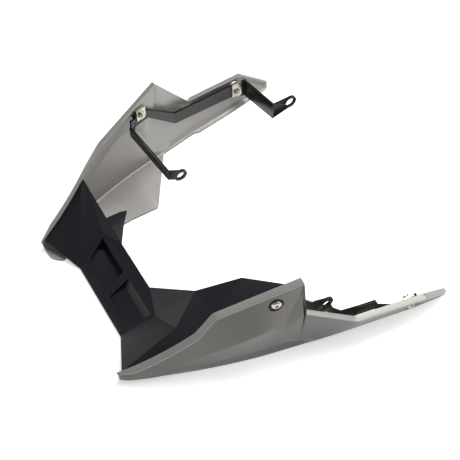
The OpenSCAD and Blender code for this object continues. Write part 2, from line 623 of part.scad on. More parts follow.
module right_bracket() {
    bend1 = plate1_at(-18, s1_low, s1_z - shoulder);
    arm1_x = eye1_x - arm1_back;
    arm2_x = eye2_x - arm2_back;
    part() color(steel_black) side(-1) difference() {
        union() {
            strap([bend1, plate1_at(-9, s1_low, s1_z - shoulder), plate1_at(-8, s1_low, s1_high),
                plate1_at(8, s1_low, s1_high), plate1_at(9, s1_low, s1_z - shoulder),
                plate1_at(12, s1_low, s1_z - shoulder), right_bend,
                [s2_x - 13, plate2_y, s2_low, s2_high_right],
                [s2_x + 14, plate2_y, s2_low, s2_high_right]]);
            arm([plate1_at(-14, 0, 0), bend1, [arm1_x, eye1_y - steel / 2, 0, 0]],
                eye1_z + arm1_low, eye1_z + arm1_high);
            strap([[arm1_x - steel / 2, eye1_y, eye1_z + arm1_low, eye1_z + arm1_high],
                [eye1_x, eye1_y, eye1_z - tab_r + 1, eye1_z + tab_r - 0.5]]);
            eyelet(eye1_x, eye1_y, eye1_z, tab_r);
            intersection() {
                arm([[s2_x + 8, plate2_y, 0, 0], [s2_x + 14, plate2_y, 0, 0],
                    [arm2_x, eye2_y - steel / 2, 0, 0]], 0, crown_z);
                translate([s2_x, 0, 0]) rotate([90, 0, 90]) linear_extrude(pan_len - s2_x) polygon([
                    [elbow_y * 2, arm2_strap[0]], [plate2_y - steel, arm2_strap[0]],
                    [eye2_y + steel, arm2_tab[0]], [0, arm2_tab[0]], [0, arm2_tab[1]],
                    [eye2_y + steel, arm2_tab[1]],
                    [plate2_y - steel, arm2_strap[1]], [elbow_y * 2, arm2_strap[1]]]);
            }
            strap([[arm2_x - steel / 2, eye2_y, arm2_tab[0], arm2_tab[1]],
                [eye2_x, eye2_y, eye2_z - rear_tab_r + 1, eye2_z + rear_tab_r - 0.5]]);
            eyelet(eye2_x, eye2_y, eye2_z, rear_tab_r);
        }
        screw_holes();
        eye_hole(eye1_x, eye1_y, eye1_z, eye_bore);
        eye_hole(eye2_x, eye2_y, eye2_z, rear_eye_bore);
    }
}
module front_place(s) { part() side(s) at_front() children(); }
module rear_place(s) { part() side(s) at_rear() children(); }
module foot_place(s, x, y) { part() side(s) translate([x, y, 0]) children(); }
clip1_reach = s1_high - s1_z + 0.2;
function clip2_reach(s) = (s > 0 ? s2_high_left : s2_high_right) - s2_z + 0.2;
module front_screw(s) { color(zinc) front_place(s) screw(recess1, boss1_len); }
module rear_screw(s) { color(zinc) rear_place(s) screw(recess2, boss2_len); }
module front_cup_washer(s) { color(black) front_place(s) cup_washer(recess1); }
module rear_cup_washer(s) { color(black) rear_place(s) cup_washer(recess2); }
module front_clip_nut(s) { color(zinc) front_place(s) clip_nut(boss1_len, clip1_reach); }
module rear_clip_nut(s) { color(zinc) rear_place(s) clip_nut(boss2_len, clip2_reach(s)); }
module front_foot_screw(s) { color(zinc) foot_place(s, f1_x, f1_y) foot_screw(); }
module rear_foot_screw(s) { color(zinc) foot_place(s, f2_x, f2_y) foot_screw(); }
module front_speed_nut(s) { color(zinc) foot_place(s, f1_x, f1_y) speed_nut(); }
module rear_speed_nut(s) { color(zinc) foot_place(s, f2_x, f2_y) speed_nut(); }

left_panel();
right_panel();
centre_duct();
left_bracket();
right_bracket();
front_screw(1);  // left_front_screw
rear_screw(1);  // left_rear_screw
front_screw(-1);  // right_front_screw
rear_screw(-1);  // right_rear_screw
front_cup_washer(1);  // left_front_cup_washer
rear_cup_washer(1);  // left_rear_cup_washer
front_cup_washer(-1);  // right_front_cup_washer
rear_cup_washer(-1);  // right_rear_cup_washer
front_clip_nut(1);  // left_front_clip_nut
rear_clip_nut(1);  // left_rear_clip_nut
front_clip_nut(-1);  // right_front_clip_nut
rear_clip_nut(-1);  // right_rear_clip_nut
front_foot_screw(1);  // left_front_foot_screw
rear_foot_screw(1);  // left_rear_foot_screw
front_foot_screw(-1);  // right_front_foot_screw
rear_foot_screw(-1);  // right_rear_foot_screw
front_speed_nut(1);  // left_front_speed_nut
rear_speed_nut(1);  // left_rear_speed_nut
front_speed_nut(-1);  // right_front_speed_nut
rear_speed_nut(-1);  // right_rear_speed_nut
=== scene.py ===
"""Looks of the motorcycle belly pan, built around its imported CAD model.

The two side panels, the panel screws and their cup washers are surfaces worked out here. The folded centre
piece and the brackets are softened copies of their CAD meshes. The nuts and the foot screws keep their CAD
meshes. Lengths in the tables are millimetres, and x is measured from the nose tip. MM turns them into
metres, and SHIFT moves them to the part's origin.
"""

import math
from collections import namedtuple

import bmesh
import bpy
import numpy as np
from mathutils import Matrix, Vector


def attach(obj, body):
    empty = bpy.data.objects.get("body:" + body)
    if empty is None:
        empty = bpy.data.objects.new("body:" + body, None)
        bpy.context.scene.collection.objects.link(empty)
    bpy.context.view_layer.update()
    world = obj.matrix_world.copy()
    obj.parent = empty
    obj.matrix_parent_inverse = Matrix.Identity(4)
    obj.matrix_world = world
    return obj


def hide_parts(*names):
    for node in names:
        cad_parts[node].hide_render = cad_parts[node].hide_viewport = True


bl_info = {
    "name": "Belly Pan Looks",
    "version": (1, 0, 0),
    "blender": (4, 5, 0),
    "location": "View3D > Sidebar > Belly Pan",
    "description": "Builds the looks of a motorcycle belly pan around its CAD model",
    "category": "Add Mesh",
}

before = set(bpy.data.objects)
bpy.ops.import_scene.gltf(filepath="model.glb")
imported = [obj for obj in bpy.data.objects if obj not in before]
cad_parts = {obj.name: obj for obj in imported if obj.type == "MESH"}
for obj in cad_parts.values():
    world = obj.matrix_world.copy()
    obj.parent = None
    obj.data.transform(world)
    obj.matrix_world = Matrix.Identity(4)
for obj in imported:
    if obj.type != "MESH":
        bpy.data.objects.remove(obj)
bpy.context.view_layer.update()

MM = 0.001
PAN_LEN = 406.0
SHIFT = np.array([-PAN_LEN / 2, 0, 0])
SIDES = (("left", -1), ("right", 1))

# Corners of the flange's inner edge, from nose to tail tip, each as x, half width and height
NOSE, KNEE, BROW = (0, 108, 20), (90, 140, 82), (112, 142, 109)
CROWN, NOTCH = (207.5, 170.5, 145), (210.5, 178.5, 87)
ELBOW, TAIL, TIP = (270, 201, 53), (364, 214, 45), (PAN_LEN, 208.5, 16)
# How far that edge sags between nose and knee, and steps out behind the right panel's crown
NOSE_SAG, RIGHT_STEP_OUT = 6.5, 3
# Flange: its width, its fall from the inner to the outer edge, and the thickness of the panel's wall
FLANGE_W, FLANGE_DROP, WALL = 8.5, 2.0, 3.0
# Its width at places along the nose and the tail, at both ends of the notch, and how far past the elbow it
# is at its full width again
NOSE_FLANGE, TAIL_FLANGE = ((0, 3), (20, FLANGE_W)), ((PAN_LEN - 6, 7.5), (PAN_LEN, 6))
LEFT_NOTCH_W, RIGHT_NOTCH_W, ELBOW_FADE = (7, 8), (5, 5), 6
# Groove under the flange: its depth inwards, and the points of its section as steps out and down
GROOVE_IN, LIP_IN, LIP_DOWN, GROOVE_DOWN = 2.0, 0.3, 2.4, 2.9
FACET_OUT, FACET_DOWN = 0.5, 5
# Share of the groove's full size along the pan
GROOVE = ((0, 0.4), (15, 1), (TAIL[0], 1), (PAN_LEN - 6, 0.8), (PAN_LEN, 0.4))
# The flank turns outwards behind this place
FLARE_X = 176.0
# Two folds along the flank: half width, then height
UPPER_FOLD_Y = ((0, 111), (8, 117), (67, 142), (168, 178), (176, 178), (190, 179), (205, 181), (232, 188),
                (270, 195.5), (364, 209.5), (406, 212.5))
UPPER_FOLD_Z = ((0, 10), (67, 33), (168, 75), (176, 68), (190, 42), (205, 22), (232, 13), (270, 12),
                (364, 11), (406, 9))
LOWER_FOLD_Y = ((0, 110.5), (12, 119), (44, 134), (90, 148), (136, 162), (186, 173), (211, 179), (232, 187),
                (270, 193.2), (364, 209), (406, 213))
LOWER_FOLD_Z = ((0, 5), (44, 10), (90, 14), (136, 18), (186, 18), (211, 14), (232, 8.5), (364, 7.5), (406, 6))
# Bottom corner of the flank
KEEL_Y = ((0, 108), (4, 110.6), (8.5, 114.8), (20, 119.5), (66, 138), (112, 154), (161, 168), (211, 179),
          (263, 190), (317, 199), (364, 207.5), (406, 213))
KEEL_Z = ((0, 0), (320, 0), (364, 1), (406, 3))
# Crease behind the front screw, and the bulge outside it
CREASE_Y = ((176, 177.5), (188, 176), (194, 175.5), (201, 175.5), (207, 176.5))
CREASE_Z = ((176, 72), (188, 77), (194, 88), (201, 107), (207, 124))
BULGE_Y = ((176, 178), (188, 178), (194, 179.5), (201, 182), (207, 184.5), (227, 191), (250, 200), (270, 206))
BULGE_Z = ((176, 70), (188, 60), (194, 66), (201, 76), (207, 84), (227, 70), (250, 57), (270, 43))
# Where no bulge is: its point's share of the way from the facet's top to the upper fold, front and rear
FRONT_SHARE, REAR_SHARE = 0.8, 0.55
# Inner edge of the floor: round at the nose, straight, out to the wall between END_X and OUT_X, then a strip
FLOOR_RIGHT = ((0, 99), (3, 94), (7, 88), (15, 81), (121, 94))
FLOOR_LEFT = ((0, 104.5), (4, 105.5), (8.5, 103), (15, 93), (21, 84), (121, 94))
FLOOR_Y, FLOOR_END_X, FLOOR_OUT_X, NARROW_W, RETURN_W = 94.0, 162.0, 213.0, 5.0, 8.0
# Points round the keel, as steps from it: out and up, then inwards
KEEL_SIDE_OUT, KEEL_SIDE_UP, KEEL_BACK = 0.3, 2.2, 2
# Points of the inside corner over the floor: steps up and in, and the least distance from the floor's edge
CORNER_UP, CORNER_FOOT_UP, CORNER_IN, CORNER_LEAST, CORNER_FOOT_LEAST = 1.6, 0.4, 1.5, 1, 0.6
FOLD_INSIDE_UP = 0.4
# The wall under the flange: its points' steps down, their least distance from the rim, and the height of
# flange above upper fold below which the wall gets thinner
UNDER_FLANGE, LEAST_UNDER, THIN_HEIGHT = (0.1, 0.8, 1.4, 2.4), 0.6, 14
# How much of the floor's thickness is left along the tail
FLOOR_SHARE = ((TAIL[0], 1), (PAN_LEN, 0.4))
# How far each point of the section lies behind the nose tip, and how fast that fades along the pan
NOSE_LEAN = np.array([0, 0.3, 0.5, 0.6, 0.8, 1, 1.2, 1.5, 1.8, 2, 2.2, 3])
LEAN_FADE = 0.1
# How far each corner of the section is cut back for its rounding, outside and inside
OUTER_CUTS = np.array([0.7, 1.0, 0.5, 0.8, 1.2, 1.6, 5.0, 2.2, 1.2, 1.2, 1.4, 0.7])
INNER_CUTS = np.array([0.7, 1.2, 0.3, 0.3, 1.0, 1.6, 4.0, 2.5, 1.5, 1.5, 1.5, 0.7])
# Points in each rounding, and the most of a side that one cut may take
ARC, MOST_CUT = 4, 0.45
# Places of two of the section's points in its outside, counted from the rim
CREASE_POINT, UPPER_FOLD_POINT = 5, 7
# Averaging along the pan: its reach, its least reach, its share of the way to a corner, its steps
REACH, LEAST_REACH, REACH_SHARE, REACH_STEPS = 3.5, 0.15, 0.8, np.linspace(-0.9, 0.9, 7)
# Distances between sections, and those beside the crown and the notch
STEP, FINE_STEP, FINE_NOSE = 2.0, 1.0, 24
FINE_BEFORE, FINE_AFTER = 4, 8
CROWN_STEPS = np.array([-0.6, -0.3, -0.1, 0, 0.1, 0.3, 0.6])
NOTCH_STEPS = np.array([-0.6, -0.3, 0, 0.3, 0.6])

# Panel screws: x, height, depth of the recess, length of the boss, the boss's wall, how far the face is
# turned, and the point of the section that ends the face
Screw = namedtuple("Screw", "x z recess boss wall yaw point")
FRONT_YAW = math.atan2(CROWN[1] - BROW[1], CROWN[0] - BROW[0])
SCREWS = {
    "front": Screw(177.5, 112.0, 2.6, 5.5, 1.2, FRONT_YAW, CREASE_POINT),
    "rear": Screw(350.0, 28.0, 5.0, 7.0, 1.7, 0.0, UPPER_FOLD_POINT),
}
CUP_GAP, BOSS_LAP, BOSS_CHAMFER = 0.3, 3.2, 0.8
# Rim of the recess, as steps out from the cup and along the screw, from the straight wall outwards
RECESS_RIM = ((0, -0.8), (0.15, -0.3), (0.6, 0.1), (0.8, 8))
SCREW_HOLE_R, HOLE_OUT, HOLE_PAST = 3.3, 6, 4
# Foot holes: x and half width, then their turned shape
FOOT_HOLES = ((52, 104), (76, 104))
FOOT_HOLE = [(2.8, 8), (2.8, 2), (4.6, 0), (4.6, -3)]
# Screw: a point almost on its axis, its end, shank, head and socket
AXIS_R, END_R, END_CHAMFER, SHANK_R, SHOULDER = 0.01, 2.3, 0.7, 2.9, (0.1, 0.05)
HEAD_H, HEAD_RIM_H, HEAD_CHAMFER, HEAD_FLAT_R, HEAD_POINTS = 3.6, 0.6, 0.25, 3.1, 12
SOCKET_R, SOCKET_CHAMFER, SOCKET_DEPTH, SOCKET_CONE = 2.3, 0.25, 2.2, 0.4
# What the screw goes through behind the boss: the clip nut's two plates, the strap, the barrel
CLIP_PLATE, STRAP, BARREL = 0.8, 3, 4.5
# Cup washer: thickness of its floor, height and size of its rolled rim, slope inside it, edges
CUP_FLOOR, CUP_RIM_UP, CUP_ROLL, CUP_ROLL_H = 1.2, 1.9, 0.6, 0.5
CUP_SLOPE, CUP_SLOPE_UP, CUP_EDGE, HOLE_EDGE = 2.0, 0.05, 0.3, 0.2
CUP_ROLL_POINTS = 7
# Steps of a full turn, for holes, for bosses and recesses, and for the hardware
COARSE_TURN, TURN, FINE_TURN = 32, 64, 72
# Edges sharper than this many degrees look sharp: in general, then on each kind of piece
SHARP, PANEL_SHARP, SCREW_SHARP, CUP_SHARP, COPY_SHARP = 32, 30, 30, 35, 28
# Doubles closer than this many metres are merged, in a new mesh and in a copy, whose faces are joined where
# they turn by less than this many degrees
MERGE, COPY_MERGE, COPY_FLAT = 1e-6, 2e-5, 0.5
# Roundings of the softened copies: width, segments, and the least angle of an edge that is rounded
DUCT_BEVEL, BRACKET_BEVEL = (1.3, 3, 12), (0.5, 2, 25)

# Stage, in metres apart from the floor. Each lamp: its share of the key light's power, its size and place
FLOOR_HALF, FLOOR_UNDER = 6000, 0.4
LAMPS = {"Key": (1.0, 1.1, (1.35, -0.5, 1.4)), "Top": (2.0, 1.0, (0.65, 0.2, 2.1))}
EYE, FORWARD, RIGHTWARD = (-0.3421, -0.6048, 0.9955), (0.298, 0.504, -0.811), (0.861, -0.509, 0.0)
SENSOR_W, CLIP_START, CLIP_END = 36.0, 0.01, 50.0


def rows(x, table):
    """Straight lines between the table's points."""
    return np.interp(x, [r[0] for r in table], [r[1] for r in table])


def curve(x, table):
    """Smooth curve through the table's points: cubic pieces whose slopes at the points are harmonic means."""
    px, py = np.array(table, float).T
    h = np.diff(px)
    d = np.diff(py) / h
    same = d[1:] * d[:-1] > 0
    inner = np.where(same, 2 * d[1:] * d[:-1] / np.where(same, d[1:] + d[:-1], 1), 0)
    m = np.concatenate([[d[0]], inner, [d[-1]]])
    x = np.clip(x, px[0], px[-1])
    i = np.clip(np.searchsorted(px, x, side="right") - 1, 0, len(h) - 1)
    t = (x - px[i]) / h[i]
    t2, t3 = t * t, t * t * t
    return ((2 * t3 - 3 * t2 + 1) * py[i] + (t3 - 2 * t2 + t) * h[i] * m[i]
            + (3 * t2 - 2 * t3) * py[i + 1] + (t3 - t2) * h[i] * m[i + 1])


def mix(a, b, t):
    """The place that lies a share t of the way from a to b."""
    return a + (b - a) * t


def pair(y, z):
    """Half widths and heights side by side."""
    return np.stack([y, z], -1)


def rim(x, left):
    """Inner edge of the flange: straight between its corners, sagging like a parabola before the knee."""
    notch = NOTCH if left else (NOTCH[0], CROWN[1] + RIGHT_STEP_OUT, None)
    corners = [NOSE, KNEE, BROW, CROWN, notch, ELBOW, TAIL, TIP]
    y = rows(x, [(c[0], c[1]) for c in corners])
    z = rows(x, [(c[0], c[2]) for c in corners if c[2] is not None])
    t = x / KNEE[0]
    return y, z - np.where(x < KNEE[0], NOSE_SAG * 4 * t * (1 - t), 0)


def edge_width(x, left):
    """Width of the flange: narrow at the nose, along the notch and at the tail."""
    notch = LEFT_NOTCH_W if left else RIGHT_NOTCH_W
    return rows(x, (*NOSE_FLANGE, (CROWN[0], FLANGE_W), (NOTCH[0], notch[0]), (ELBOW[0] - 1, notch[1]),
                    (ELBOW[0] + ELBOW_FADE, FLANGE_W), (TAIL[0], FLANGE_W), *TAIL_FLANGE))


def floor_edge(x, left):
    """Inner edge of the panel's floor: round at the nose, straight, then diagonally out to the wall."""
    inner = rows(x, FLOOR_LEFT if left else FLOOR_RIGHT)
    way_out = (x - FLOOR_END_X) / (FLOOR_OUT_X - FLOOR_END_X)
    out = mix(FLOOR_Y, rows(FLOOR_OUT_X, KEEL_Y) - NARROW_W, way_out)
    strip = rows(x, ((ELBOW[0] + 1, NARROW_W), (ELBOW[0] + ELBOW_FADE, RETURN_W), (TAIL[0], RETURN_W),
                     (PAN_LEN, NARROW_W)))
    return np.where(x < FLOOR_END_X, inner, np.where(x < FLOOR_OUT_X, out, rows(x, KEEL_Y) - strip))


def facet_top(x, left):
    """Top edge of the outer facet, just under the groove."""
    y, z = rim(x, left)
    groove = rows(x, GROOVE)
    out = edge_width(x, left) + (FACET_OUT - GROOVE_IN) * groove
    return pair(y + out, z - FLANGE_DROP - FACET_DOWN * groove)


def sections(x, left):
    """Cross sections at each x, as 24 points: the outside from the flange down to the floor's edge, and back
    along the inside, which lies a wall's thickness in. Every point follows one of the pan's long lines."""
    rim_y, rim_z = rim(x, left)
    edge_y, edge_z = rim_y + edge_width(x, left), rim_z - FLANGE_DROP
    groove = rows(x, GROOVE)
    top = facet_top(x, left)
    upper = pair(curve(x, UPPER_FOLD_Y), curve(x, UPPER_FOLD_Z))
    lower = pair(curve(x, LOWER_FOLD_Y), curve(x, LOWER_FOLD_Z))
    keel_y, keel_z = curve(x, KEEL_Y), rows(x, KEEL_Z)
    floor_y = floor_edge(x, left)
    share = np.where(x < FLARE_X, FRONT_SHARE, REAR_SHARE)[:, None]
    bulged = ((x >= FLARE_X) & (x <= (CROWN[0] if left else ELBOW[0])))[:, None]
    bulge = np.where(bulged, pair(rows(x, BULGE_Y), rows(x, BULGE_Z)), mix(top, upper, share))
    creased = ((x >= FLARE_X) & (x <= CROWN[0]))[:, None]
    halfway = mix(top, np.where((x < FLARE_X)[:, None], upper, bulge), 0.5)
    crease = np.where(creased, pair(rows(x, CREASE_Y), rows(x, CREASE_Z)), halfway)
    outer = [pair(rim_y, rim_z), pair(edge_y, edge_z), pair(edge_y - LIP_IN, edge_z - LIP_DOWN * groove),
             pair(edge_y - GROOVE_IN * groove, edge_z - GROOVE_DOWN * groove),
             top, crease, bulge, upper, lower,
             pair(keel_y + KEEL_SIDE_OUT, keel_z + KEEL_SIDE_UP), pair(keel_y - KEEL_BACK, keel_z),
             pair(floor_y, keel_z)]
    thin = np.minimum(1, (edge_z - upper[:, 1]) / THIN_HEIGHT)
    low = rows(x, FLOOR_SHARE)
    under_y = np.maximum(edge_y - GROOVE_IN * groove - WALL, rim_y + LEAST_UNDER)
    step = np.array([WALL, 0])
    inner = [pair(rim_y, rim_z - WALL * thin)]
    inner += [pair(under_y, edge_z - (WALL + down) * thin) for down in UNDER_FLANGE]
    inner += [crease - step, bulge - step, upper - step, lower - step + [0, FOLD_INSIDE_UP],
              pair(np.maximum(keel_y - WALL, floor_y + CORNER_LEAST), keel_z + (WALL + CORNER_UP) * low),
              pair(np.maximum(keel_y - WALL - CORNER_IN, floor_y + CORNER_FOOT_LEAST),
                   keel_z + (WALL + CORNER_FOOT_UP) * low),
              pair(floor_y, keel_z + WALL * low)]
    yz = np.stack(outer + inner[::-1], 1)
    lean = np.concatenate([NOSE_LEAN, NOSE_LEAN[::-1]])
    xs = np.maximum(x[:, None], lean + LEAN_FADE * x[:, None])
    return np.concatenate([xs[:, :, None], yz], -1)


def soft_sections(x, left):
    """Sections averaged along the pan over a short reach, with weights that fall off evenly to both sides. It
    rounds the corners of the rim and of the creases, and its reach shrinks towards those that stay sharp."""
    reach = np.minimum(REACH, np.minimum(x, PAN_LEN - x))
    for place in (CROWN[0], NOTCH[0], FLARE_X):
        reach = np.minimum(reach, np.maximum(LEAST_REACH, REACH_SHARE * np.abs(x - place)))
    weights = 1 - np.abs(REACH_STEPS)
    total = sum(w * sections(x + reach * s, left) for s, w in zip(REACH_STEPS, weights))
    return total / weights.sum()


def rounded(rings, cuts):
    """Closed rings with each corner replaced by a parabola that starts and ends its cut length from the
    corner, or less where the side is short."""
    before, after = np.roll(rings, 1, 1) - rings, np.roll(rings, -1, 1) - rings
    lengths = [np.linalg.norm(v, axis=-1, keepdims=True) + 1e-9 for v in (before, after)]
    a, b = (rings + v / n * np.minimum(cuts[None, :, None], MOST_CUT * n)
            for v, n in zip((before, after), lengths))
    t = np.linspace(0, 1, ARC)[None, None, :, None]
    out = (1 - t) ** 2 * a[:, :, None] + 2 * t * (1 - t) * rings[:, :, None] + t**2 * b[:, :, None]
    return out.reshape(rings.shape[0], -1, 3)


def make_mesh(name, points, faces, angle=SHARP):
    """A mesh object from points in mm, smooth apart from edges sharper than angle degrees."""
    mesh = bpy.data.meshes.new(name)
    mesh.from_pydata(np.asarray(points) * MM, [], [list(map(int, f)) for f in faces])
    mesh.validate()
    thing = bpy.data.objects.new(name, mesh)
    bpy.context.scene.collection.objects.link(thing)
    outward(thing)
    shade(thing, angle)
    return thing


def outward(thing):
    """Merges a mesh's doubles and turns its faces outwards."""
    work = bmesh.new()
    work.from_mesh(thing.data)
    bmesh.ops.remove_doubles(work, verts=work.verts, dist=MERGE)
    bmesh.ops.recalc_face_normals(work, faces=work.faces)
    work.to_mesh(thing.data)
    work.free()


def shade(thing, angle):
    """Smooth shading apart from edges sharper than angle degrees."""
    thing.data.polygons.foreach_set("use_smooth", np.ones(len(thing.data.polygons), bool))
    thing.data.set_sharp_from_angle(angle=math.radians(angle))


def ring_faces(n, m):
    """Quads between n closed rings of m points."""
    i = np.arange(n - 1)[:, None]
    k = np.arange(m)[None]
    k2 = (k + 1) % m
    return np.stack([i * m + k, i * m + k2, (i + 1) * m + k2, (i + 1) * m + k], -1).reshape(-1, 4)


def lathe(profile, place, count, factor=1.0):
    """Points and faces of a surface of revolution: a profile of radius and height turned about Z in equal
    steps. factor scales its radii. place is a 4 by 4 matrix that carries it to the part, in mm."""
    profile = np.array(profile, float)
    turn = np.linspace(0, 2 * math.pi, count, endpoint=False)
    radius = profile[:, :1] * factor
    z = np.repeat(profile[:, 1:], count, 1)
    points = np.stack([radius * np.cos(turn), radius * np.sin(turn), z], -1).reshape(-1, 3)
    place = np.array(place)
    return points @ place[:3, :3].T + place[:3, 3], ring_faces(len(profile), count)


def solid_of_revolution(name, profile, place, count=TURN, angle=SHARP, factor=1.0):
    """A lathe surface with flat caps over its first and last ring."""
    points, faces = lathe(profile, place, count, factor)
    last = len(points) - count
    caps = [list(range(count - 1, -1, -1)), list(range(last, last + count))]
    return make_mesh(name, points, [*faces.tolist(), *caps], angle)


def boolean(thing, other, operation):
    """Adds or cuts other, then forgets it."""
    modifier = thing.modifiers.new(operation, "BOOLEAN")
    modifier.operation, modifier.solver, modifier.object = operation, "EXACT", other
    depsgraph = bpy.context.evaluated_depsgraph_get()
    mesh = bpy.data.meshes.new_from_object(thing.evaluated_get(depsgraph))
    thing.modifiers.clear()
    old, thing.data = thing.data, mesh
    bpy.data.meshes.remove(old)
    bpy.data.objects.remove(other)


def face_y(x, z, point):
    """Half width of the outside at a place, on the straight line from the facet's top to one of the section's
    points."""
    at = np.array([float(x)])
    a, b = facet_top(at, True)[0], sections(at, True)[0][point][1:]
    return mix(a[0], b[0], (a[1] - z) / (a[1] - b[1]))


def to_part(side):
    """Carries places in mm from the nose tip to the part's origin, mirrored on the left side."""
    return Matrix.Diagonal((1, side, 1, 1)) @ Matrix.Translation(Vector(SHIFT))


def screw_frame(side, screw):
    """A screw's frame on one side: at the panel's face with Z outward, in mm of the part."""
    face = Matrix.Translation((screw.x, face_y(screw.x, screw.z, screw.point), screw.z))
    turned = face @ Matrix.Rotation(screw.yaw, 4, "Z") @ Matrix.Rotation(-math.pi / 2, 4, "X")
    return to_part(side) @ turned


def finish_piece(thing, node, slot, *materials):
    """Gives a piece its materials, by the numbers that its faces hold, and puts it in its node's place."""
    chosen = [face.material_index for face in thing.data.polygons]
    thing.data.materials.clear()
    for material in materials:
        thing.data.materials.append(material)
    thing.data.polygons.foreach_set("material_index", [min(i, len(materials) - 1) for i in chosen])
    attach(thing, "root")
    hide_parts(node)
    return thing


def copy_of(node, name):
    """A copy of a CAD node's mesh with its doubles merged and its flat faces joined."""
    thing = bpy.data.objects.new(name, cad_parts[node].data.copy())
    bpy.context.scene.collection.objects.link(thing)
    work = bmesh.new()
    work.from_mesh(thing.data)
    bmesh.ops.remove_doubles(work, verts=work.verts, dist=COPY_MERGE)
    bmesh.ops.dissolve_limit(work, angle_limit=math.radians(COPY_FLAT), verts=work.verts, edges=work.edges)
    bmesh.ops.recalc_face_normals(work, faces=work.faces)
    work.to_mesh(thing.data)
    work.free()
    return thing


def bevel(thing, width, segments, angle):
    """Rounds the edges sharper than angle degrees, over a width in mm."""
    modifier = thing.modifiers.new("Bevel", "BEVEL")
    modifier.width, modifier.segments = width * MM, segments
    modifier.limit_method, modifier.angle_limit = "ANGLE", math.radians(angle)
    modifier.harden_normals = False
    modifier.use_clamp_overlap = True
    depsgraph = bpy.context.evaluated_depsgraph_get()
    mesh = bpy.data.meshes.new_from_object(thing.evaluated_get(depsgraph))
    thing.modifiers.clear()
    thing.data = mesh
    shade(thing, COPY_SHARP)


# Materials


class Sock:
    """A value in a shader. Maths on it, from either side, adds the Math nodes."""

    def __init__(self, shader, socket):
        self.shader, self.socket = shader, socket

    def _math(self, operation, a, b):
        return self.shader.node("ShaderNodeMath", {"operation": operation}, {0: a, 1: b})

    def __add__(self, other):
        return self._math("ADD", self, other)

    __radd__ = __add__

    def __mul__(self, other):
        return self._math("MULTIPLY", self, other)

    __rmul__ = __mul__

    def __sub__(self, other):
        return self._math("SUBTRACT", self, other)

    def __rsub__(self, other):
        return self._math("SUBTRACT", other, self)


class Shader:
    """A material's node tree. node() makes any node from its type, its settings and its sockets' values."""

    def __init__(self, name):
        self.material = bpy.data.materials.new(name)
        self.material.use_nodes = True
        self.tree = self.material.node_tree
        self.bsdf = self.tree.nodes["Principled BSDF"]

    def put(self, socket, value):
        """Links a value to a socket, or sets the socket to a plain number or colour."""
        if isinstance(value, Sock):
            self.tree.links.new(value.socket, socket)
        else:
            socket.default_value = value

    def node(self, kind, settings, values, output=0):
        made = self.tree.nodes.new(kind)
        for key, value in settings.items():
            setattr(made, key, value)
        for key, value in values.items():
            self.put(made.inputs[key], value)
        return Sock(self, made.outputs[output])

    def surface(self, **values):
        """Sets the main shader's sockets, whose names are written with _ for a space."""
        for key, value in values.items():
            self.put(self.bsdf.inputs[key.replace("_", " ")], value)
        return self.material

    def noise(self, scale, detail):
        """Noise that is fixed to the piece, from 0 to 1. A higher scale is finer."""
        place = self.node("ShaderNodeTexCoord", {}, {}, "Object")
        values = {"Vector": place, "Scale": scale, "Detail": detail, "Roughness": 0.5}
        return self.node("ShaderNodeTexNoise", {}, values, "Fac")

    def bump(self, height, strength, distance):
        values = {"Strength": strength, "Distance": distance, "Height": height}
        return self.node("ShaderNodeBump", {}, values, "Normal")

    def blend(self, factor, a, b):
        return self.node("ShaderNodeMix", {"data_type": "RGBA"}, {0: factor, 6: a, 7: b}, 2)

    def shades(self, factor, colour, dark, light):
        """A colour that goes from a darker to a lighter share of itself."""
        return self.blend(factor, [c * dark for c in colour] + [1.0], [c * light for c in colour] + [1.0])


def paint(look, name="Panel paint", lighter=1.0, metallic=1.0):
    """Satin metallic paint: fine bright flakes, and a slow drift in tone."""
    s = Shader(name)
    flakes = s.noise(scale=2600.0, detail=1.0)
    drift = s.noise(scale=9.0, detail=2.0)
    tone = s.shades(flakes * 0.5 + drift * 0.35, look.panel_colour, dark=0.8 * lighter, light=1.22 * lighter)
    grain = s.noise(scale=1500.0, detail=2.0)
    return s.surface(Base_Color=tone, Metallic=look.panel_metal * metallic,
                     Roughness=look.panel_rough + (drift - 0.5) * 0.08, Coat_Weight=0.25, Coat_Roughness=0.22,
                     Normal=s.bump(grain, strength=0.05, distance=0.0002))


def highlight_and_inside_paint(look):
    """The panels' flange tops and inner faces: the same paint, but lighter and less metallic. On the flange
    tops the lighter tone is a painted highlight.
    """
    return paint(look, "Panel inside and flange highlight", lighter=3.1, metallic=0.4)


def plastic(look):
    """Matt black moulded plastic with a fine grain and faint handling marks."""
    s = Shader("Duct plastic")
    grain = s.noise(scale=1900.0, detail=3.0)
    drift = s.noise(scale=14.0, detail=3.0)
    tone = s.shades(drift, look.duct_colour, dark=0.86, light=1.18)
    return s.surface(Base_Color=tone, Roughness=0.46 + (drift - 0.5) * 0.12, Specular_IOR_Level=0.32,
                     Normal=s.bump(grain, strength=0.12, distance=0.0002))


def coated_steel(look):
    """Black powder coating with a slight orange peel."""
    s = Shader("Bracket coating")
    peel = s.noise(scale=420.0, detail=2.0)
    tone = s.shades(s.noise(scale=30.0, detail=2.0), look.steel_colour, dark=0.8, light=1.25)
    return s.surface(Base_Color=tone, Roughness=0.36, Specular_IOR_Level=0.3,
                     Normal=s.bump(peel, strength=0.12, distance=0.0003))


def zinc(look):
    """Zinc plating with a fine mottle in tone and gloss."""
    s = Shader("Zinc plating")
    mottle = s.noise(scale=260.0, detail=3.0)
    tone = s.blend(mottle, (0.34, 0.32, 0.27, 1.0), (0.62, 0.60, 0.53, 1.0))
    return s.surface(Base_Color=tone, Metallic=1.0, Roughness=0.26 + (mottle - 0.5) * 0.15)


def nylon(look):
    """Black nylon with a slight grain."""
    s = Shader("Black nylon")
    grain = s.noise(scale=900.0, detail=2.0)
    return s.surface(Base_Color=(0.006, 0.006, 0.007, 1.0), Specular_IOR_Level=0.3, Roughness=0.5,
                     Normal=s.bump(grain, strength=0.1, distance=0.0002))


